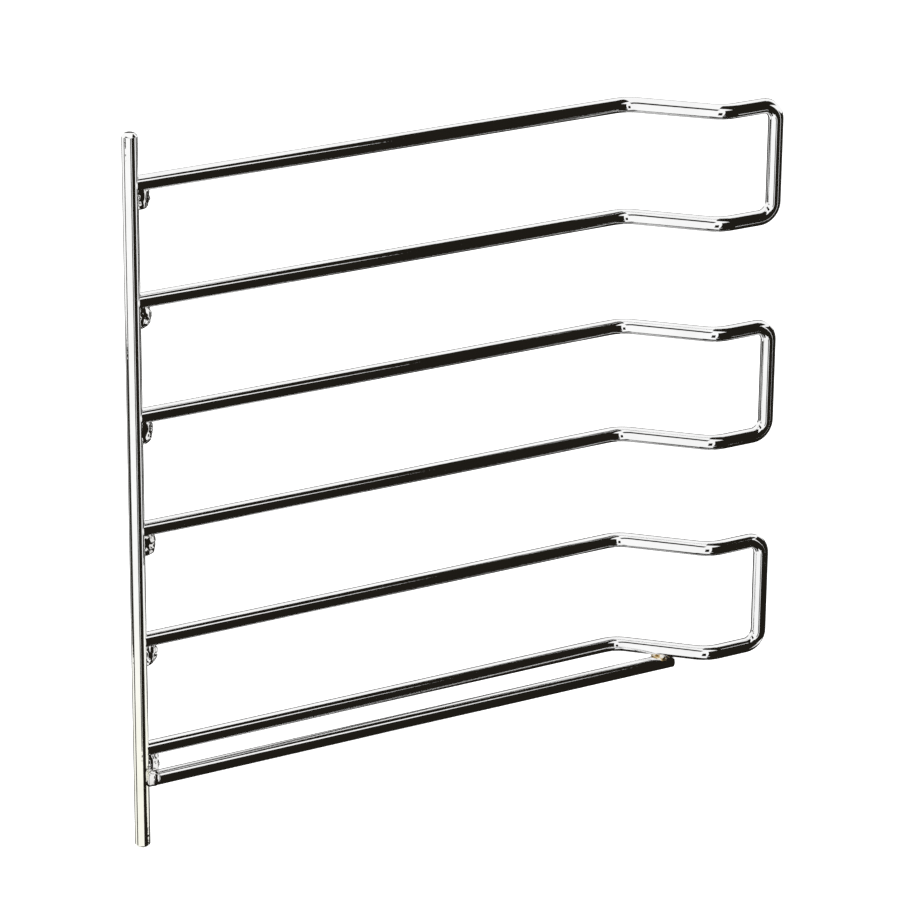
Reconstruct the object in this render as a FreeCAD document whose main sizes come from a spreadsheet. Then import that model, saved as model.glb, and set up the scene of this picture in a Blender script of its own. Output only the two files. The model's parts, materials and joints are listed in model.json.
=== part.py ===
"""Swing rack for ties and belts: an upright rod that carries three loops of bent wire.

Frame: the origin is the centre of the rod's lower end, +Z runs up the rod, +X runs out along the
arms and -Y is the side that the free ends are set over to. Millimetres.
"""

import FreeCAD, Part
import math
import os

import Sketcher

# Driving dimensions: name, value in millimetres or degrees, meaning.
SIZES = [
    ("rod_diameter", 8.0, "upright rod that the rack swings on"),
    ("rod_length", 380.0, "rod from end to end"),
    ("rod_chamfer", 1.5, "chamfer at both ends of the rod"),
    ("wire_diameter", 8.0, "wire of the loops and of the brace"),
    ("arm_pitch", 60.0, "height from one arm to the next"),
    ("lowest_arm_height", 54.0, "lowest arm above the rod's lower end"),
    ("saddle_depth", 2.0, "how far an arm's end closes round the rod"),
    ("straight_run", 280.0, "rod axis to the corner of the first joggle bend"),
    ("joggle_run", 36.0, "length of the joggle along the arm"),
    ("joggle_offset", 36.0, "sideways set of the free ends"),
    ("joggle_bend_radius", 16.0, "bend of the joggle, at the wire's centre"),
    ("end_run", 32.0, "second joggle corner to the axis of the end bar"),
    ("end_bend_radius", 8.0, "corner bend of the end bar, at the wire's centre"),
    ("brace_drop", 17.5, "brace below the lowest arm, at the rod"),
    ("brace_overrun", 7.0, "brace past the middle of the joggle that it props"),
    ("brace_clearance", 0.1, "air between the brace and the joggle, inside their weld"),
    ("weld_reach", 6.0, "weld bead along an arm"),
    ("weld_drop", 9.0, "weld bead down the rod, from the underside of the arm"),
    ("weld_height", 12.0, "the whole lump of the bead, whose top is hidden by the arm"),
    ("weld_width", 7.0, "weld bead from side to side"),
    ("brace_weld_size", 5.0, "bead in front of the brace's end, out from its middle"),
    ("brace_weld_depth", 3.0, "the same bead, towards the viewer"),
    ("prop_weld_length", 5.5, "half the bead between brace and joggle, along the joggle"),
    ("prop_weld_width", 4.0, "half the same bead, across the joggle"),
    ("prop_weld_height", 3.0, "half the same bead, upwards"),
]

LOOPS = ["lower_loop", "middle_loop", "upper_loop"]
ARMS_PER_LOOP = 2

doc = FreeCAD.newDocument("swing_rack")
sheet = doc.addObject("Spreadsheet::Sheet", "Sizes")
for row, (alias, value, meaning) in enumerate(SIZES, start=1):
    sheet.set(f"A{row}", alias)
    sheet.set(f"B{row}", str(value))
    sheet.set(f"C{row}", meaning)
    sheet.setAlias(f"B{row}", alias)
doc.recompute()


def size(alias):
    """The value that the sheet holds under a name, to start a sketch near its solution."""
    return float(sheet.get(alias))


# Places that several pieces share, as expressions on the sheet.
ROD_RADIUS = "Sizes.rod_diameter / 2"
WIRE_RADIUS = "Sizes.wire_diameter / 2"
ARM_START = "Sizes.rod_diameter / 2 - Sizes.saddle_depth"
END_BAR_X = "Sizes.straight_run + Sizes.joggle_run + Sizes.end_run"
BEAD_DEPTH = "(Sizes.wire_diameter / 2 + Sizes.weld_drop - Sizes.weld_height / 2)"
BRACE_HEIGHT = "Sizes.lowest_arm_height - Sizes.brace_drop"
PROP_X = "Sizes.straight_run + Sizes.joggle_run / 2"
PROP_Y = "-Sizes.joggle_offset / 2"
PROP_HEIGHT = "Sizes.lowest_arm_height - Sizes.wire_diameter - Sizes.brace_clearance"
PROP_SEAM = "Sizes.lowest_arm_height - Sizes.wire_diameter / 2 - Sizes.brace_clearance / 2"
BRACE_PLAN = f"sqrt(({PROP_X})^2 + ({PROP_Y})^2)"
BRACE_RISE = f"({PROP_HEIGHT} - ({BRACE_HEIGHT}))"
BRACE_YAW = f"atan2({PROP_Y}; {PROP_X})"
BRACE_PITCH = f"atan2({BRACE_RISE}; {BRACE_PLAN})"
JOGGLE_YAW = "atan2(-Sizes.joggle_offset; Sizes.joggle_run)"
JOGGLE_LENGTH = "sqrt(Sizes.joggle_run^2 + Sizes.joggle_offset^2)"


def arm_height(index):
    """Expression for the height of an arm's axis, counted from the lowest arm."""
    return f"Sizes.lowest_arm_height + {index} * Sizes.arm_pitch"


def bind(target, **expressions):
    """Tie properties to the sheet. A double underscore in a name stands for a dot."""
    for name, expression in expressions.items():
        target.setExpression(name.replace("__", "."), expression)


def name_and_bind(sketch, constraint, name, expression):
    """Add a constraint to a sketch, give it a name and tie it to the sheet."""
    index = sketch.addConstraint(constraint)
    sketch.renameConstraint(index, name)
    sketch.setExpression(f"Constraints.{name}", expression)


def new_body(label):
    """An empty body whose label is the node's name."""
    body = doc.addObject("PartDesign::Body", label)
    body.Label = label
    return body


def new_sketch(body, name, role, offset=None):
    """A sketch on one of the body's own origin planes, moved along its normal by an expression."""
    plane = next(item for item in body.Origin.OriginFeatures if item.Role == role)
    sketch = body.newObject("Sketcher::SketchObject", name)
    sketch.AttachmentSupport = [(plane, "")]
    sketch.MapMode = "FlatFace"
    if offset:
        bind(sketch, AttachmentOffset__Base__z=offset)
    return sketch


def add_circle(sketch, radius, centre_x=None, centre_y=None):
    """A circle in a sketch. Its centre is at the origin unless expressions place it."""
    origin = FreeCAD.Vector(0, 0, 0)
    normal = FreeCAD.Vector(0, 0, 1)
    circle = sketch.addGeometry(Part.Circle(origin, normal, 1.0), False)
    name_and_bind(sketch, Sketcher.Constraint("Radius", circle, 1.0), "radius", radius)
    for axis, name, expression in (
        ("DistanceX", "centre_x", centre_x),
        ("DistanceY", "centre_y", centre_y),
    ):
        constraint = Sketcher.Constraint(axis, -1, 1, circle, 3, 0.0)
        name_and_bind(sketch, constraint, name, expression or "0")


def tangent_arc(before, corner, after, radius):
    """The arc of a radius that rounds the corner between two points."""
    into = (corner - before).normalize()
    out = (after - corner).normalize()
    turn = into.getAngle(out)
    setback = radius * math.tan(turn / 2)
    start = corner - into * setback
    end = corner + out * setback
    middle = corner + (out - into).normalize() * (radius / math.cos(turn / 2) - radius)
    return Part.Arc(start, middle, end)


def arm_path(body):
    """Path of one arm: straight run, joggle between two bends, short straight run to the end bar."""
    sketch = new_sketch(body, "arm_path", "XY_Plane", "Sizes.arm_pitch / 2")
    corner_1 = FreeCAD.Vector(size("straight_run"), 0, 0)
    corner_2 = corner_1 + FreeCAD.Vector(size("joggle_run"), -size("joggle_offset"), 0)
    start = FreeCAD.Vector(size("rod_diameter") / 2 - size("saddle_depth"), 0, 0)
    finish = corner_2 + FreeCAD.Vector(size("end_run") - size("end_bend_radius"), 0, 0)
    bend_1 = tangent_arc(start, corner_1, corner_2, size("joggle_bend_radius"))
    bend_2 = tangent_arc(corner_1, corner_2, finish, size("joggle_bend_radius"))
    arm = sketch.addGeometry(Part.LineSegment(start, bend_1.StartPoint), False)
    first = sketch.addGeometry(bend_1, False)
    joggle = sketch.addGeometry(Part.LineSegment(bend_1.EndPoint, bend_2.StartPoint), False)
    second = sketch.addGeometry(bend_2, False)
    tail = sketch.addGeometry(Part.LineSegment(bend_2.EndPoint, finish), False)
    corners = sketch.addGeometry(Part.LineSegment(corner_1, corner_2), True)
    # The first bend turns right and the second left, so their ends meet the lines in mirrored order.
    first_in, first_out = arc_ends(sketch, first, bend_1.StartPoint)
    second_in, second_out = arc_ends(sketch, second, bend_2.StartPoint)
    sketch.addConstraint(
        [
            Sketcher.Constraint("PointOnObject", arm, 1, -1),
            Sketcher.Constraint("Horizontal", arm),
            Sketcher.Constraint("Tangent", arm, 2, first, first_in),
            Sketcher.Constraint("Tangent", first, first_out, joggle, 1),
            Sketcher.Constraint("Tangent", joggle, 2, second, second_in),
            Sketcher.Constraint("Tangent", second, second_out, tail, 1),
            Sketcher.Constraint("Horizontal", tail),
            Sketcher.Constraint("PointOnObject", corners, 1, -1),
            Sketcher.Constraint("PointOnObject", joggle, 1, corners),
            Sketcher.Constraint("PointOnObject", joggle, 2, corners),
            Sketcher.Constraint("PointOnObject", corners, 2, tail),
            Sketcher.Constraint("Equal", first, second),
        ]
    )
    for name, constraint, expression in (
        ("start", Sketcher.Constraint("DistanceX", -1, 1, arm, 1, start.x), ARM_START),
        ("straight", Sketcher.Constraint("DistanceX", -1, 1, corners, 1, corner_1.x), "Sizes.straight_run"),
        (
            "run",
            Sketcher.Constraint("DistanceX", corners, 1, corners, 2, corner_2.x - corner_1.x),
            "Sizes.joggle_run",
        ),
        (
            "offset",
            Sketcher.Constraint("DistanceY", corners, 2, corners, 1, corner_1.y - corner_2.y),
            "Sizes.joggle_offset",
        ),
        (
            "bend",
            Sketcher.Constraint("Radius", first, size("joggle_bend_radius")),
            "Sizes.joggle_bend_radius",
        ),
        (
            "finish",
            Sketcher.Constraint("DistanceX", -1, 1, tail, 2, finish.x),
            f"{END_BAR_X} - Sizes.end_bend_radius",
        ),
    ):
        name_and_bind(sketch, constraint, name, expression)
    return sketch


def arc_ends(sketch, arc, entry):
    """Sketch positions of an arc's ends, the one at the entry point first."""
    starts_at_entry = sketch.getPoint(arc, 1).isEqual(entry, 1e-6)
    return (1, 2) if starts_at_entry else (2, 1)


def end_path(body):
    """Path of the end bar: a corner bend, the upright bar and the other corner bend."""
    sketch = new_sketch(body, "end_path", "XZ_Plane", "Sizes.joggle_offset")
    half = size("arm_pitch") / 2
    bar_x = size("straight_run") + size("joggle_run") + size("end_run")
    radius = size("end_bend_radius")
    upper_corner = FreeCAD.Vector(bar_x, half, 0)
    lower_corner = FreeCAD.Vector(bar_x, -half, 0)
    along = FreeCAD.Vector(radius, 0, 0)
    upper_bend = tangent_arc(upper_corner - along * 2, upper_corner, lower_corner, radius)
    lower_bend = tangent_arc(upper_corner, lower_corner, lower_corner - along * 2, radius)
    upper = sketch.addGeometry(upper_bend, False)
    bar = sketch.addGeometry(Part.LineSegment(upper_bend.EndPoint, lower_bend.StartPoint), False)
    lower = sketch.addGeometry(lower_bend, False)
    upper_in, upper_out = arc_ends(sketch, upper, upper_bend.StartPoint)
    lower_in, lower_out = arc_ends(sketch, lower, lower_bend.StartPoint)
    sketch.addConstraint(
        [
            Sketcher.Constraint("Tangent", upper, upper_out, bar, 1),
            Sketcher.Constraint("Tangent", bar, 2, lower, lower_in),
            Sketcher.Constraint("Vertical", bar),
            Sketcher.Constraint("Equal", upper, lower),
            Sketcher.Constraint("Vertical", upper, upper_in, upper, 3),
            Sketcher.Constraint("Symmetric", upper, upper_in, lower, lower_out, -1),
        ]
    )
    for name, constraint, expression in (
        ("bend", Sketcher.Constraint("Radius", upper, radius), "Sizes.end_bend_radius"),
        ("bar_x", Sketcher.Constraint("DistanceX", -1, 1, bar, 1, bar_x), END_BAR_X),
        (
            "half_pitch",
            Sketcher.Constraint("DistanceY", -1, 1, upper, upper_in, half),
            "Sizes.arm_pitch / 2",
        ),
    ):
        name_and_bind(sketch, constraint, name, expression)
    return sketch


def add_pipe(body, name, profile, path):
    """Wire swept along a path sketch."""
    pipe = body.newObject("PartDesign::AdditivePipe", name)
    pipe.Profile = profile
    pipe.Spine = (path, [])
    return pipe


def make_rod():
    """The upright rod: a padded circle with both end edges chamfered."""
    body = new_body("pivot_rod")
    profile = new_sketch(body, "rod_section", "XY_Plane")
    add_circle(profile, ROD_RADIUS)
    pad = body.newObject("PartDesign::Pad", "rod_pad")
    pad.Profile = profile
    bind(pad, Length="Sizes.rod_length")
    doc.recompute()
    rims = [
        f"Edge{number}"
        for number, edge in enumerate(pad.Shape.Edges, start=1)
        if edge.isClosed()
    ]
    chamfer = body.newObject("PartDesign::Chamfer", "rod_ends")
    chamfer.Base = (pad, rims)
    bind(chamfer, Size="Sizes.rod_chamfer")
    return body


def make_loop(label, index):
    """One loop: an arm swept and mirrored, closed by the end bar, its two ends coped to the rod."""
    body = new_body(label)
    bind(body, Placement__Base__z=f"{arm_height(ARMS_PER_LOOP * index)} + Sizes.arm_pitch / 2")
    section = new_sketch(body, "arm_section", "YZ_Plane", ARM_START)
    add_circle(section, WIRE_RADIUS, centre_y="Sizes.arm_pitch / 2")
    arm = add_pipe(body, "arm", section, arm_path(body))
    mirror = body.newObject("PartDesign::Mirrored", "both_arms")
    mirror.Originals = [arm]
    mid_plane = next(item for item in body.Origin.OriginFeatures if item.Role == "XY_Plane")
    mirror.MirrorPlane = (mid_plane, [""])
    body.Tip = mirror
    doc.recompute()
    end_section = new_sketch(body, "end_section", "YZ_Plane", f"{END_BAR_X} - Sizes.end_bend_radius")
    add_circle(end_section, WIRE_RADIUS, "-Sizes.joggle_offset", "Sizes.arm_pitch / 2")
    add_pipe(body, "end_bar", end_section, end_path(body))
    doc.recompute()
    cope_section = new_sketch(body, "cope_section", "XY_Plane", "-Sizes.arm_pitch")
    add_circle(cope_section, ROD_RADIUS)
    uncoped = body.Shape.Volume
    cope = body.newObject("PartDesign::Pocket", "saddle_cope")
    cope.Profile = cope_section
    cope.Reversed = True
    bind(cope, Length="2 * Sizes.arm_pitch")
    doc.recompute()
    if body.Shape.Volume >= uncoped:
        raise RuntimeError(f"the cope of {label} cuts nothing")
    return body


def make_cylinder(name, radius, length, placement=None):
    """A round bar that stands on the origin along +Z unless an expression places it."""
    cylinder = doc.addObject("Part::Cylinder", name)
    bind(cylinder, Radius=radius, Height=length)
    if placement:
        bind(cylinder, Placement=placement)
    return cylinder


def along_x(x, y, z, yaw="0 deg", pitch="0 deg"):
    """Placement that lays a bar from a point along +X, then pitched up and turned about Z."""
    turned = f"rotation({yaw}; 90 deg - ({pitch}); 0 deg)"
    return f"placement(vector({x}; {y}; {z}); {turned})"


def cut_away(label, base, tools):
    """A piece with other pieces' space taken out of it, so that they meet face to face."""
    for number, tool in enumerate(tools, start=1):
        cut = doc.addObject("Part::Cut", f"{label}_cut_{number}")
        cut.Base = base
        cut.Tool = tool
        base = cut
    base.Label = label
    return base


def make_bead(label, half_sizes, centre, tools, turn="0 deg"):
    """A weld bead: an ellipsoid lying in a corner between the pieces that it joins."""
    bead = doc.addObject("Part::Ellipsoid", f"{label}_lump")
    along, across, up = half_sizes
    bind(bead, Radius1=up, Radius2=along, Radius3=across)
    x, y, z = centre
    bind(bead, Placement=f"placement(vector({x}; {y}; {z}); rotation({turn}; 0 deg; 0 deg))")
    return cut_away(label, bead, tools)


def make_rod_space():
    """The rod as a plain bar, to cut pieces to the rod's surface."""
    return make_cylinder("rod_space", ROD_RADIUS, "Sizes.rod_length")


def make_brace(rod_space):
    """The straight brace, and the bare wire that the beads round it are cut by."""
    length = f"sqrt(({BRACE_PLAN})^2 + {BRACE_RISE}^2) + Sizes.brace_overrun"
    wire = make_cylinder(
        "brace_wire", WIRE_RADIUS, length, along_x("0", "0", BRACE_HEIGHT, BRACE_YAW, BRACE_PITCH)
    )
    return cut_away("bottom_brace", wire, [rod_space]), wire


def make_arm_welds(rod_space, brace_wire):
    """One bead under each arm, in the corner between the arm and the rod."""
    beads = []
    for loop_index, loop in enumerate(LOOPS):
        for arm_index, side in enumerate(("bottom", "top")):
            index = ARMS_PER_LOOP * loop_index + arm_index
            height = arm_height(index)
            arm_space = make_cylinder(
                f"arm_space_{index}", WIRE_RADIUS, "Sizes.straight_run", along_x("0", "0", height)
            )
            tools = [rod_space, arm_space]
            if index == 0:
                tools.append(brace_wire)
            beads.append(
                make_bead(
                    f"{loop}_{side}_weld",
                    ("Sizes.weld_reach", "Sizes.weld_width / 2", "Sizes.weld_height / 2"),
                    (ROD_RADIUS, "0", f"{height} - {BEAD_DEPTH}"),
                    tools,
                )
            )
    return beads


def make_brace_welds(rod_space, brace_wire):
    """The bead in front of the brace's end at the rod, and the one that holds it to the joggle."""
    rear = make_bead(
        "brace_rear_weld",
        ("Sizes.brace_weld_size", "Sizes.brace_weld_depth", "Sizes.brace_weld_size"),
        (ROD_RADIUS, "-Sizes.wire_diameter / 2", BRACE_HEIGHT),
        [rod_space, brace_wire],
    )
    joggle_space = make_cylinder(
        "joggle_space",
        WIRE_RADIUS,
        JOGGLE_LENGTH,
        along_x("Sizes.straight_run", "0", "Sizes.lowest_arm_height", JOGGLE_YAW),
    )
    front = make_bead(
        "brace_front_weld",
        ("Sizes.prop_weld_length", "Sizes.prop_weld_width", "Sizes.prop_weld_height"),
        (PROP_X, PROP_Y, PROP_SEAM),
        [joggle_space, brace_wire],
        turn=JOGGLE_YAW,
    )
    return [rear, front]


def export(pieces):
    """Check every object and every piece, then write one STEP file for each piece."""
    doc.recompute()
    for item in doc.Objects:
        if "Invalid" in item.State or "Error" in item.State:
            raise RuntimeError(f"{item.Label} did not compute: {item.State}")
    for piece in pieces:
        if piece.Shape.isNull() or not piece.Shape.isValid() or len(piece.Shape.Solids) != 1:
            raise RuntimeError(f"{piece.Label} is not one valid solid")
    os.makedirs("parts", exist_ok=True)
    for piece in pieces:
        piece.Shape.exportStep(f"parts/{piece.Label}.step")
        print(f"{piece.Label}: {piece.Shape.Volume:.1f} mm3")


rod_space = make_rod_space()
brace, brace_wire = make_brace(rod_space)
pieces = [make_rod()]
pieces += [make_loop(label, index) for index, label in enumerate(LOOPS)]
pieces.append(brace)
pieces += make_arm_welds(rod_space, brace_wire)
pieces += make_brace_welds(rod_space, brace_wire)
export(pieces)
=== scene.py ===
"""Looks of the swing rack: bright chrome wire, lumpy weld beads and a white studio with dark cards."""

import json
import logging
import math
from dataclasses import dataclass, field
from enum import Enum

import bmesh
import bpy
from mathutils import Matrix, Vector, noise

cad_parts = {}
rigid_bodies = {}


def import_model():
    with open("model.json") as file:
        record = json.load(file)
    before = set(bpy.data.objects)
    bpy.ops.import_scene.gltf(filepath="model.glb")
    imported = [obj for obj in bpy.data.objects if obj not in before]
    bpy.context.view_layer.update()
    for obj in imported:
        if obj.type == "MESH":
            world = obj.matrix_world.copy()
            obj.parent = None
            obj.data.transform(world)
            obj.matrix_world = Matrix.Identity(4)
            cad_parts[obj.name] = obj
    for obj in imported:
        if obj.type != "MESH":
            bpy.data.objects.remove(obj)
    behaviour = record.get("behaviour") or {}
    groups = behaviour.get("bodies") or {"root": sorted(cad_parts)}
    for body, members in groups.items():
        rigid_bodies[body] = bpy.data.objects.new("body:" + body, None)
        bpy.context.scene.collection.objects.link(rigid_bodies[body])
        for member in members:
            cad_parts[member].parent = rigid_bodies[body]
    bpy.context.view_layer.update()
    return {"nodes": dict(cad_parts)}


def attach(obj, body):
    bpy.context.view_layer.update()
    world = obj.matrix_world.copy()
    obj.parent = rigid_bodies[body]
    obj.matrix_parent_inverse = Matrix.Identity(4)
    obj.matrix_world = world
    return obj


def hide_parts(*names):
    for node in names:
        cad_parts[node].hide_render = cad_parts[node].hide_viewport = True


LOG = logging.getLogger("rack")
MM = 0.001
BODY = "root"
TINY = 1e-9
WHITE = (1.0, 1.0, 1.0, 1.0)
DIRECT_RAYS = ("Is Camera Ray", "Is Glossy Ray", "Is Transmission Ray")

Colour = tuple[float, float, float]
Span = tuple[float, float]


class Grain(Enum):
    """Direction of the fine lines from drawing or grinding, as lines per metre on each axis."""

    ALONG_X = (30.0, 900.0, 900.0)
    ALONG_Z = (900.0, 900.0, 30.0)
    NONE = (260.0, 260.0, 260.0)


class Tone(Enum):
    """How dark a card of the studio is."""

    BLACK = (0.014, 0.012, 0.009)
    SLATE = (0.030, 0.027, 0.022)
    STEEL = (0.12, 0.12, 0.115)


class NodeTree:
    """A short way to add and link shader nodes."""

    def __init__(self, tree: bpy.types.NodeTree) -> None:
        """Start from an empty tree."""
        self.tree = tree
        tree.nodes.clear()

    def add(self, kind: str, inputs: dict | None = None, **settings: object) -> bpy.types.Node:
        """Add a node.

        Args:
            kind: Blender's name for the node type.
            inputs: socket name or number to a value, or to another node's output socket.
            settings: plain properties of the node.

        Returns:
            The new node.
        """
        node = self.tree.nodes.new(kind)
        for name, value in settings.items():
            setattr(node, name, value)
        for key, value in (inputs or {}).items():
            if isinstance(value, bpy.types.NodeSocket):
                self.tree.links.new(value, node.inputs[key])
            else:
                node.inputs[key].default_value = value
        return node

    def cloud(
        self, where: bpy.types.NodeSocket, scale: float, detail: float, roughness: float = 0.5
    ) -> bpy.types.NodeSocket:
        """Add a noise texture.

        Args:
            where: coordinates that it reads.
            scale: its size, as a count per unit of the coordinates.
            detail: how many finer layers it has.
            roughness: how strong the finer layers are.

        Returns:
            The noise's value.
        """
        inputs = {"Vector": where, "Scale": scale, "Detail": detail, "Roughness": roughness}
        return self.add("ShaderNodeTexNoise", inputs).outputs["Fac"]

    def ramp(
        self, factor: bpy.types.NodeSocket, stops: list[tuple[float, Colour]]
    ) -> bpy.types.NodeSocket:
        """Add a colour ramp.

        Args:
            factor: socket that drives the ramp.
            stops: position and colour of each stop, in order.

        Returns:
            The ramp's colour.
        """
        node = self.add("ShaderNodeValToRGB", {"Fac": factor})
        elements = node.color_ramp.elements
        while len(elements) < len(stops):
            elements.new(0.5)
        for element, (position, colour) in zip(elements, stops):
            element.position = position
            element.color = (*colour, 1.0)
        return node.outputs["Color"]

    def between(self, value: bpy.types.NodeSocket, source: Span, target: Span) -> bpy.types.NodeSocket:
        """Map a value from one span to another.

        Args:
            value: socket to map.
            source: span that it comes from.
            target: span that it goes to.

        Returns:
            The mapped value.
        """
        inputs = {"Value": value, "From Min": source[0], "From Max": source[1]}
        inputs |= {"To Min": target[0], "To Max": target[1]}
        return self.add("ShaderNodeMapRange", inputs).outputs["Result"]

    def bump(
        self,
        height: bpy.types.NodeSocket,
        strength: float,
        distance: float,
        under: bpy.types.NodeSocket | None = None,
    ) -> bpy.types.NodeSocket:
        """Add a bump.

        Args:
            height: socket that gives its height.
            strength: how much of it shows.
            distance: its full height in metres.
            under: normal of a bump below it.

        Returns:
            The bumped normal.
        """
        inputs = {"Height": height, "Strength": strength, "Distance": distance}
        if under:
            inputs["Normal"] = under
        return self.add("ShaderNodeBump", inputs).outputs["Normal"]

    def metal(
        self,
        colour: bpy.types.NodeSocket,
        roughness: bpy.types.NodeSocket,
        normal: bpy.types.NodeSocket,
    ) -> None:
        """End the tree in a metal surface.

        Args:
            colour: colour of the metal.
            roughness: how dull it is.
            normal: its bumped normal.
        """
        inputs = {"Base Color": colour, "Metallic": 1.0, "Roughness": roughness, "Normal": normal}
        shader = self.add("ShaderNodeBsdfPrincipled", inputs)
        self.add("ShaderNodeOutputMaterial", {"Surface": shader.outputs[0]})

    def seen_directly(self) -> bpy.types.NodeSocket:
        """One for rays from the camera and for reflected or refracted rays, zero for the rest.

        Returns:
            The socket with that value.
        """
        path = self.add("ShaderNodeLightPath")
        seen = path.outputs[DIRECT_RAYS[0]]
        for ray in DIRECT_RAYS[1:]:
            either = {0: seen, 1: path.outputs[ray]}
            seen = self.add("ShaderNodeMath", either, operation="MAXIMUM").outputs[0]
        return seen


def new_material(name: str) -> tuple[bpy.types.Material, NodeTree]:
    """Start a material.

    Args:
        name: the material's name.

    Returns:
        The material and its empty tree.
    """
    material = bpy.data.materials.new(name)
    material.use_nodes = True
    return material, NodeTree(material.node_tree)


@dataclass(frozen=True)
class ChromeFinish:
    """Bright chrome plate over drawn or ground steel."""

    name: str
    bright: Colour
    dull: Colour
    grain: Grain
    roughness: Span = (0.015, 0.045)
    grain_depth: float = 0.006
    grain_height: float = 0.4 * MM
    grain_detail: float = 4.0
    grain_roughness: float = 0.6
    grain_span: Span = (0.35, 0.75)
    cloud_scale: float = 42.0
    cloud_detail: float = 5.0
    cloud_stops: Span = (0.35, 0.6)
    wave_depth: float = 0.02
    wave_height: float = 2.0 * MM
    wave_scale: float = 140.0
    wave_detail: float = 2.6
    wave_roughness: float = 0.72
    warm: Colour | None = None
    warm_heights: Span = (0.06, 0.15)

    def material(self) -> bpy.types.Material:
        """Make the material: clouded plate, faint lines along the bar and a slight waviness.

        Returns:
            The material.
        """
        material, tree = new_material(self.name)
        where = tree.add("ShaderNodeTexCoord").outputs["Object"]
        stretch = tree.add("ShaderNodeMapping", {"Vector": where, "Scale": self.grain.value})
        lines = tree.cloud(stretch.outputs[0], 1.0, self.grain_detail, self.grain_roughness)
        clouds = tree.cloud(where, self.cloud_scale, self.cloud_detail)
        waves = tree.cloud(where, self.wave_scale, self.wave_detail, self.wave_roughness)
        colour = tree.ramp(clouds, list(zip(self.cloud_stops, (self.dull, self.bright))))
        if self.warm:
            colour = self.warmed(tree, where, colour)
        rough = tree.between(lines, self.grain_span, self.roughness)
        grooves = tree.bump(lines, self.grain_depth, self.grain_height)
        skin = tree.bump(waves, self.wave_depth, self.wave_height, grooves)
        tree.metal(colour, rough, skin)
        return material

    def warmed(
        self, tree: NodeTree, where: bpy.types.NodeSocket, colour: bpy.types.NodeSocket
    ) -> bpy.types.NodeSocket:
        """Warm the plate's colour towards the lower end.

        Args:
            tree: the material's tree.
            where: object coordinates.
            colour: colour of the plate elsewhere.

        Returns:
            The plate's colour with the warm end.
        """
        height = tree.add("ShaderNodeSeparateXYZ", {"Vector": where}).outputs["Z"]
        share = tree.between(height, self.warm_heights, (1.0, 0.0))
        inputs = {"Fac": share, "Color1": colour, "Color2": (*self.warm, 1.0)}
        return tree.add("ShaderNodeMixRGB", inputs, blend_type="MULTIPLY").outputs[0]


@dataclass(frozen=True)
class BrazeFinish:
    """Golden brazing metal with brown heat stains and spots that the plate has covered."""

    name: str
    gold: Colour = (0.74, 0.55, 0.26)
    stain: Colour = (0.28, 0.17, 0.06)
    plate: Colour = (0.94, 0.93, 0.89)
    stain_scale: float = 330.0
    stain_detail: float = 5.0
    stain_stops: tuple[float, float, float] = (0.36, 0.48, 0.56)
    dulling: Span = (0.35, 0.65)
    roughness: Span = (0.42, 0.18)
    pit_scale: float = 900.0
    pit_detail: float = 3.0
    pit_depth: float = 0.25
    pit_height: float = 0.6 * MM

    def material(self) -> bpy.types.Material:
        """Make the material: stains, bare gold and plated spots, rougher where it is stained.

        Returns:
            The material.
        """
        material, tree = new_material(self.name)
        where = tree.add("ShaderNodeTexCoord").outputs["Object"]
        stains = tree.cloud(where, self.stain_scale, self.stain_detail)
        pits = tree.cloud(where, self.pit_scale, self.pit_detail)
        colour = tree.ramp(stains, list(zip(self.stain_stops, (self.stain, self.gold, self.plate))))
        rough = tree.between(stains, self.dulling, self.roughness)
        skin = tree.bump(pits, self.pit_depth, self.pit_height)
        tree.metal(colour, rough, skin)
        return material


def add_mesh(name: str, shape: bmesh.types.BMesh) -> bpy.types.Object:
    """Turn a bmesh into an object at the origin and free the bmesh.

    Args:
        name: the object's name.
        shape: the finished mesh, already in its place.

    Returns:
        The new object, linked to the scene.
    """
    bmesh.ops.recalc_face_normals(shape, faces=shape.faces)
    mesh = bpy.data.meshes.new(name)
    shape.to_mesh(mesh)
    shape.free()
    piece = bpy.data.objects.new(name, mesh)
    bpy.context.scene.collection.objects.link(piece)
    return piece


def dress(piece: bpy.types.Object, material: bpy.types.Material) -> None:
    """Give a piece one material in place of whatever it had."""
    piece.data.materials.clear()
    piece.data.materials.append(material)


@dataclass
class PivotRod:
    """The upright rod, with turned ends whose edges are eased."""

    finish: ChromeFinish
    radius: float = 4.0 * MM
    length: float = 380.0 * MM
    chamfer: float = 1.5 * MM
    chamfer_segments: int = 1
    easing: float = 0.25 * MM
    easing_segments: int = 3
    segments: int = 96
    level_within: float = 0.001 * MM
    sharp_angle: float = math.radians(32)

    def build(self) -> bpy.types.Object:
        """Model the rod from a capped cone of equal radii with bevelled rims.

        Returns:
            The rod.
        """
        shape = bmesh.new()
        bmesh.ops.create_cone(
            shape,
            cap_ends=True,
            segments=self.segments,
            radius1=self.radius,
            radius2=self.radius,
            depth=self.length,
            matrix=Matrix.Translation((0, 0, self.length / 2)),
        )
        self.bevel_rims(shape, self.chamfer, self.chamfer_segments)
        self.bevel_rims(shape, self.easing, self.easing_segments)
        piece = add_mesh("turned_rod", shape)
        piece.data.shade_smooth()
        piece.data.set_sharp_from_angle(angle=self.sharp_angle)
        dress(piece, self.finish.material())
        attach(piece, BODY)
        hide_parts("pivot_rod")
        return piece

    def bevel_rims(self, shape: bmesh.types.BMesh, offset: float, segments: int) -> None:
        """Bevel every level edge.

        Args:
            shape: the rod's mesh.
            offset: width of the bevel.
            segments: how many faces it has.
        """
        rims = [
            edge
            for edge in shape.edges
            if abs(edge.verts[0].co.z - edge.verts[1].co.z) < self.level_within
        ]
        bmesh.ops.bevel(
            shape,
            geom=rims,
            offset=offset,
            offset_type="OFFSET",
            affect="EDGES",
            segments=segments,
            profile=0.5,
            material=-1,
        )


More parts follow.
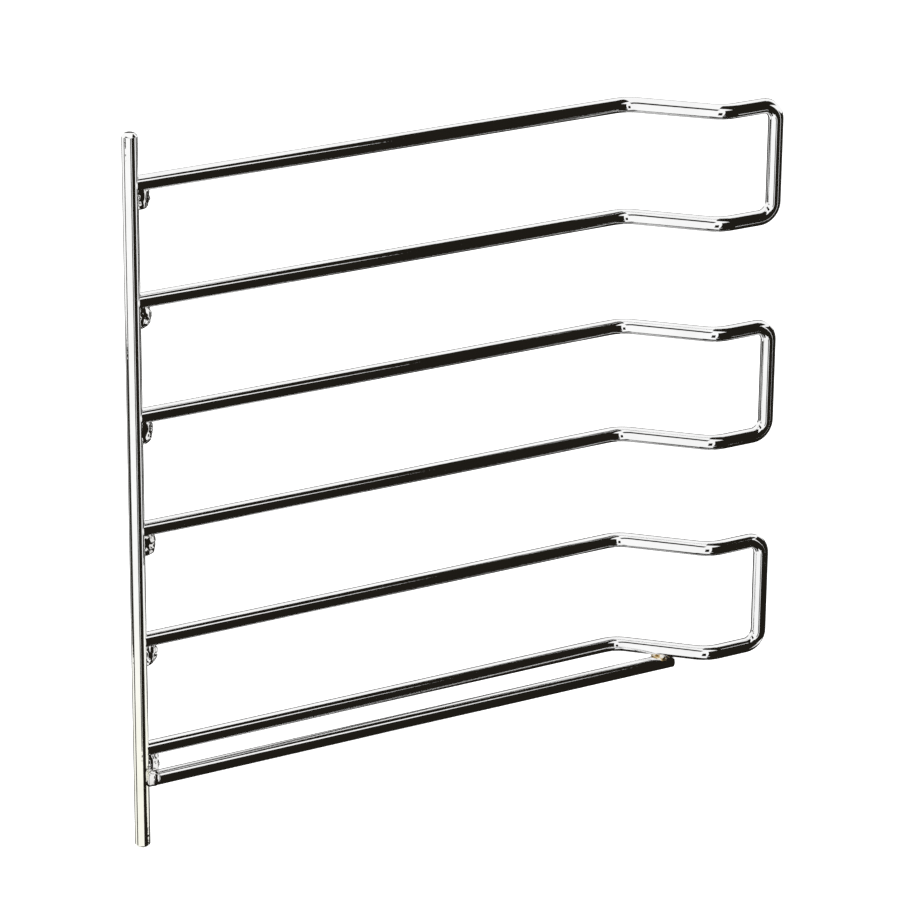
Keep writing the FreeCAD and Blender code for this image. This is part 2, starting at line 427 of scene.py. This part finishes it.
@dataclass
class WeldBead:
    """One lump of weld metal that stands for a CAD bead."""

    node: str
    centre: Vector
    half: Vector
    seed: int
    turn: float = 0.0
    lump: float = 0.2
    lump_scale: float = 1.3
    knob_scale: float = 2.8
    knob_share: float = 0.4
    shrink: float = 0.3
    ripple: float = 0.02
    ripple_pitch: float = 9.0
    ripple_slant: float = 2.0
    taper: float = 0.0
    fullness: float = 3.0
    fineness: int = 5
    seed_steps: tuple[float, float, float] = (7.3, 3.1, 5.7)

    def build(self, material: bpy.types.Material, slot: str) -> bpy.types.Object:
        """Model the bead from an ico sphere that noise and cooling ripples push about.

        Args:
            material: finish of the bead.
            slot: not used.

        Returns:
            The bead.
        """
        shape = bmesh.new()
        bmesh.ops.create_icosphere(shape, subdivisions=self.fineness, radius=1.0)
        for vertex in shape.verts:
            vertex.co = self.pushed(vertex.co.copy())
        bmesh.ops.scale(shape, verts=shape.verts, vec=self.half)
        bmesh.ops.rotate(shape, verts=shape.verts, matrix=Matrix.Rotation(self.turn, 3, "Z"))
        bmesh.ops.translate(shape, verts=shape.verts, vec=self.centre)
        piece = add_mesh(f"{self.node}_bead", shape)
        piece.data.shade_smooth()
        dress(piece, material)
        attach(piece, BODY)
        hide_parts(self.node)
        return piece

    def pushed(self, place: Vector) -> Vector:
        """Move a point of the unit sphere to its place on the bead.

        Args:
            place: the point.

        Returns:
            Its new place, before the bead is scaled.
        """
        shift = Vector([self.seed * step for step in self.seed_steps])
        swell = noise.noise(place * self.lump_scale + shift) * self.lump
        swell += noise.noise(place * self.knob_scale + shift) * self.lump * self.knob_share
        phase = place.z * self.ripple_pitch + place.x * self.ripple_slant + self.seed
        swell += math.sin(phase) * self.ripple
        waist = max(1.0 - place.z * place.z, TINY) ** 0.5
        side = max(1.0 - abs(place.z) ** self.fullness, 0.0) ** (1.0 / self.fullness)
        moved = place * (1.0 + swell - self.lump * self.shrink)
        moved.xy *= side / waist * (1.0 + self.taper * place.z)
        return moved


@dataclass
class Frame:
    """The loops and the brace, which keep their CAD shape, and all the weld beads."""

    nodes: dict
    wire: ChromeFinish
    weld: ChromeFinish
    braze: BrazeFinish
    rod_radius: float = 4.0 * MM
    wire_radius: float = 4.0 * MM
    arm_pitch: float = 60.0 * MM
    lowest_arm: float = 54.0 * MM
    bead_half: Vector = field(default_factory=lambda: Vector((6.0, 3.4, 6.7)) * MM)
    bead_depth: float = 7.6 * MM
    bead_taper: float = -0.06
    first_seed: int = 2
    brace_height: float = 36.5 * MM
    rear_half: Vector = field(default_factory=lambda: Vector((3.6, 3.0, 4.4)) * MM)
    rear_rise: float = 2.4 * MM
    rear_reach: float = 1.0 * MM
    rear_lump: float = 0.08
    rear_seed: int = 11
    prop: Vector = field(default_factory=lambda: Vector((298.0, -18.0, 49.9)) * MM)
    prop_half: Vector = field(default_factory=lambda: Vector((5.0, 3.7, 2.6)) * MM)
    prop_turn: float = math.radians(-45)
    prop_seed: int = 13

    def dress_wires(self) -> None:
        """Give the loops and the brace their chrome."""
        material = self.wire.material()
        for name in ("upper_loop", "middle_loop", "lower_loop", "bottom_brace"):
            dress(self.nodes[name], material)
            LOG.info("dressed %s", name)

    def build_beads(self) -> None:
        """Model the beads under the arms and the two beads of the brace."""
        material = self.weld.material()
        for bead in (*self.arm_beads(), self.rear_bead()):
            LOG.info("built %s", bead.build(material, "weld_chrome").name)
        prop = WeldBead(
            "brace_front_weld", self.prop, self.prop_half, seed=self.prop_seed, turn=self.prop_turn
        )
        LOG.info("built %s", prop.build(self.braze.material(), "brazed_metal").name)

    def arm_beads(self) -> list[WeldBead]:
        """The beads under the arms, from the lowest up.

        Returns:
            The six beads.
        """
        loops = ("lower_loop", "middle_loop", "upper_loop")
        arms = [f"{loop}_{side}" for loop in loops for side in ("bottom", "top")]
        beads = []
        for index, arm in enumerate(arms):
            height = self.lowest_arm + index * self.arm_pitch - self.bead_depth
            centre = Vector((self.rod_radius, 0.0, height))
            seed = index + self.first_seed
            beads.append(WeldBead(f"{arm}_weld", centre, self.bead_half, seed, taper=self.bead_taper))
        return beads

    def rear_bead(self) -> WeldBead:
        """The smooth bead at the rod end of the brace.

        Returns:
            The bead.
        """
        reach = self.rod_radius + self.rear_reach
        centre = Vector((reach, -self.wire_radius, self.brace_height + self.rear_rise))
        return WeldBead(
            "brace_rear_weld", centre, self.rear_half, self.rear_seed, lump=self.rear_lump, ripple=0.0
        )


@dataclass(frozen=True)
class Card:
    """A flat card that only reflections see, hung around the rack, in degrees and metres.

    Its angles and its size are those seen from the middle of the rack, which it faces.
    """

    name: str
    azimuth: float
    elevation: float
    width: float
    height: float
    tone: Tone
    distance: float = 1.5

    def build(self, middle: Vector) -> bpy.types.Object:
        """Lay a grid of one face at the card's place, give it its tone and hide it from everything but
        reflections.

        Args:
            middle: middle of the rack.

        Returns:
            The card.
        """
        azimuth, elevation = math.radians(self.azimuth), math.radians(self.elevation)
        outward = Vector(
            (
                math.cos(azimuth) * math.cos(elevation),
                math.sin(azimuth) * math.cos(elevation),
                math.sin(elevation),
            )
        )
        level = Vector((-math.sin(azimuth), math.cos(azimuth), 0.0))
        turn = Matrix((level, outward.cross(level), outward)).transposed().to_4x4()
        spans = (math.radians(self.width), math.radians(self.height))
        half_width, half_height = (self.distance * math.tan(span / 2) for span in spans)
        scale = Matrix.Diagonal((half_width, half_height, 1.0, 1.0))
        place = Matrix.Translation(middle + outward * self.distance) @ turn @ scale
        shape = bmesh.new()
        bmesh.ops.create_grid(shape, x_segments=1, y_segments=1, size=1.0, matrix=place)
        card = add_mesh(self.name, shape)
        self.dress(card)
        return card

    def dress(self, card: bpy.types.Object) -> None:
        """Give the card its tone and hide it from everything but reflections.

        Args:
            card: the card's object.
        """
        material, tree = new_material(self.name)
        glow = tree.add("ShaderNodeEmission", {"Color": (*self.tone.value, 1.0), "Strength": 1.0})
        tree.add("ShaderNodeOutputMaterial", {"Surface": glow.outputs[0]})
        dress(card, material)
        card.visible_camera = False
        card.visible_diffuse = False
        card.visible_shadow = False
        card.visible_transmission = False


@dataclass(frozen=True)
class Lamp:
    """A soft square lamp that reflections don't show, in metres and watts."""

    name: str
    offset: tuple[float, float, float]
    size: float
    power: float

    def build(self, middle: Vector) -> bpy.types.Object:
        """Hang the lamp and aim it.

        Args:
            middle: point that it is aimed at and hung from.

        Returns:
            The lamp.
        """
        light = bpy.data.lights.new(self.name, "AREA")
        light.size = self.size
        light.energy = self.power
        lamp = bpy.data.objects.new(self.name, light)
        offset = Vector(self.offset)
        lamp.location = middle + offset
        lamp.rotation_euler = (-offset).to_track_quat("-Z", "Y").to_euler()
        lamp.visible_glossy = False
        bpy.context.scene.collection.objects.link(lamp)
        return lamp


@dataclass
class Studio:
    """Floor, white surroundings, soft lamps and the dark cards that draw the bands in the chrome."""

    middle: Vector = field(default_factory=lambda: Vector((170.0, 0.0, 190.0)) * MM)
    surround: float = 0.55
    floor_depth: float = 1.19
    floor_half: float = 30.0
    floor_colour: Colour = (0.9, 0.9, 0.9)
    floor_glow: float = 0.9
    lamps: tuple[Lamp, ...] = (
        Lamp("overhead_lamp", (0.3, 0.5, 2.6), size=2.4, power=60.0),
        Lamp("front_lamp", (-1.6, -1.4, 1.9), size=1.4, power=14.0),
    )
    cards: tuple[Card, ...] = (
        # Lower side of the arms, and the band right of the middle of the rod.
        Card("front_right_card", -70, -5, 50, 76, Tone.BLACK),
        Card("low_right_card", -25, -58, 80, 34, Tone.BLACK),
        # Right side of the end bars, and the arms next to them.
        Card("end_bar_card", -15, -10, 36, 50, Tone.BLACK, distance=0.45),
        Card("high_right_card", -35, 50, 40, 50, Tone.BLACK, distance=0.7),
        # Thin lines along the upright bars.
        Card("front_strip_card", -108, -15, 12, 40, Tone.BLACK),
        Card("left_card", 150, -20, 40, 14, Tone.SLATE),
        Card("left_strip_card", 165, -20, 14, 40, Tone.SLATE),
        # The arms as seen from their free ends.
        Card("left_end_card", 180, 4, 22, 12, Tone.SLATE),
        # Outlines at the edges of the bars.
        Card("rear_left_card", 105, -20, 30, 40, Tone.STEEL),
        Card("right_card", 15, -20, 30, 40, Tone.STEEL),
        Card("rear_right_card", 60, 15, 50, 22, Tone.SLATE),
        # The line along the joggles.
        Card("high_left_card", -155, 50, 60, 20, Tone.BLACK),
        # Lines near the lower edges, and the bands as seen from behind.
        Card("under_card", 0, -90, 45, 45, Tone.BLACK),
        Card("rear_card", 60, -30, 60, 40, Tone.SLATE),
    )

    def build(self) -> None:
        """Set up the world, the floor, the lamps and the cards."""
        self.build_world()
        self.build_floor()
        for lamp in self.lamps:
            LOG.info("stage %s", lamp.build(self.middle).name)
        for card in self.cards:
            LOG.info("stage %s", card.build(self.middle).name)

    def build_world(self) -> None:
        """White to the camera and to reflections, softer to matt surfaces."""
        world = bpy.data.worlds.new("white_studio")
        bpy.context.scene.world = world
        world.use_nodes = True
        tree = NodeTree(world.node_tree)
        soft = tree.add("ShaderNodeBackground", {"Color": WHITE, "Strength": self.surround})
        white = tree.add("ShaderNodeBackground", {"Color": WHITE, "Strength": 1.0})
        choice = {0: tree.seen_directly(), 1: soft.outputs[0], 2: white.outputs[0]}
        mix = tree.add("ShaderNodeMixShader", choice)
        tree.add("ShaderNodeOutputWorld", {"Surface": mix.outputs[0]})

    def build_floor(self) -> None:
        """A wide pale floor, white to the camera apart from the shadow on it."""
        shape = bmesh.new()
        place = Matrix.Translation(self.middle + Vector((0, 0, -self.floor_depth)))
        bmesh.ops.create_grid(shape, x_segments=1, y_segments=1, size=self.floor_half, matrix=place)
        floor = add_mesh("studio_floor", shape)
        material, tree = new_material("pale_floor")
        matt = tree.add("ShaderNodeBsdfDiffuse", {"Color": (*self.floor_colour, 1.0)})
        glow = tree.add("ShaderNodeEmission", {"Color": WHITE, "Strength": self.floor_glow})
        lit = tree.add("ShaderNodeAddShader", {0: matt.outputs[0], 1: glow.outputs[0]})
        choice = {0: tree.seen_directly(), 1: matt.outputs[0], 2: lit.outputs[0]}
        mix = tree.add("ShaderNodeMixShader", choice)
        tree.add("ShaderNodeOutputMaterial", {"Surface": mix.outputs[0]})
        dress(floor, material)
        floor.visible_glossy = False


@dataclass(frozen=True)
class PhotoCamera:
    """Camera at the photograph's place, in degrees, metres and pixels."""

    azimuth: float = 29.689
    elevation: float = 21.3665
    roll: float = 0.4617
    distance: float = 2.3310273
    focal_pixels: float = 4553.5381
    slide: Span = (0.007255, -0.0046641)
    target: tuple[float, float, float] = (0.170, 0.0, 0.190)
    picture_pixels: float = 900.0
    sensor: float = 36.0
    reach: float = 100.0

    def build(self) -> bpy.types.Object:
        """Place the camera and make it the scene's camera.

        Returns:
            The camera.
        """
        angles = (self.azimuth, self.elevation, self.roll)
        azimuth, elevation, roll = (math.radians(angle) for angle in angles)
        forward = Vector(
            (
                math.sin(azimuth) * math.cos(elevation),
                math.cos(azimuth) * math.cos(elevation),
                -math.sin(elevation),
            )
        )
        level = Vector((math.cos(azimuth), -math.sin(azimuth), 0.0))
        upright = level.cross(forward)
        right = level * math.cos(roll) + upright * math.sin(roll)
        up = upright * math.cos(roll) - level * math.sin(roll)
        place = Vector(self.target) - forward * self.distance
        place += right * self.slide[0] + up * self.slide[1]
        data = bpy.data.cameras.new("photo_camera")
        data.sensor_width = self.sensor
        data.sensor_fit = "HORIZONTAL"
        data.lens = self.focal_pixels / self.picture_pixels * self.sensor
        data.clip_end = self.reach
        camera = bpy.data.objects.new("photo_camera", data)
        turn = Matrix((right, up, -forward)).transposed().to_4x4()
        camera.matrix_world = Matrix.Translation(place) @ turn
        bpy.context.scene.collection.objects.link(camera)
        bpy.context.scene.camera = camera
        return camera


def clear_start_scene() -> None:
    """Remove whatever a new Blender file starts with."""
    for thing in list(bpy.data.objects):
        bpy.data.objects.remove(thing)


def main() -> None:
    """Load the CAD frame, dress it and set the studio."""
    logging.basicConfig(level=logging.INFO, format="%(name)s: %(message)s")
    clear_start_scene()
    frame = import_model()
    bpy.context.scene.view_settings.view_transform = "Standard"
    PhotoCamera().build()
    Studio().build()
    rod_chrome = ChromeFinish(
        "rod_chrome_plate",
        bright=(0.97, 0.97, 0.965),
        dull=(0.92, 0.92, 0.91),
        grain=Grain.ALONG_Z,
        warm=(1.0, 0.995, 0.89),
    )
    wire_chrome = ChromeFinish(
        "wire_chrome_plate",
        bright=(0.96, 0.96, 0.96),
        dull=(0.90, 0.90, 0.90),
        grain=Grain.ALONG_X,
    )
    weld_chrome = ChromeFinish(
        "weld_chrome_plate",
        bright=(0.95, 0.95, 0.94),
        dull=(0.78, 0.77, 0.75),
        grain=Grain.NONE,
        roughness=(0.02, 0.07),
        grain_depth=0.02,
        wave_depth=0.05,
        wave_scale=160.0,
    )
    LOG.info("built %s", PivotRod(rod_chrome).build().name)
    rack = Frame(frame["nodes"], wire_chrome, weld_chrome, BrazeFinish("golden_braze"))
    rack.dress_wires()
    rack.build_beads()


if __name__ == "__main__":
    main()
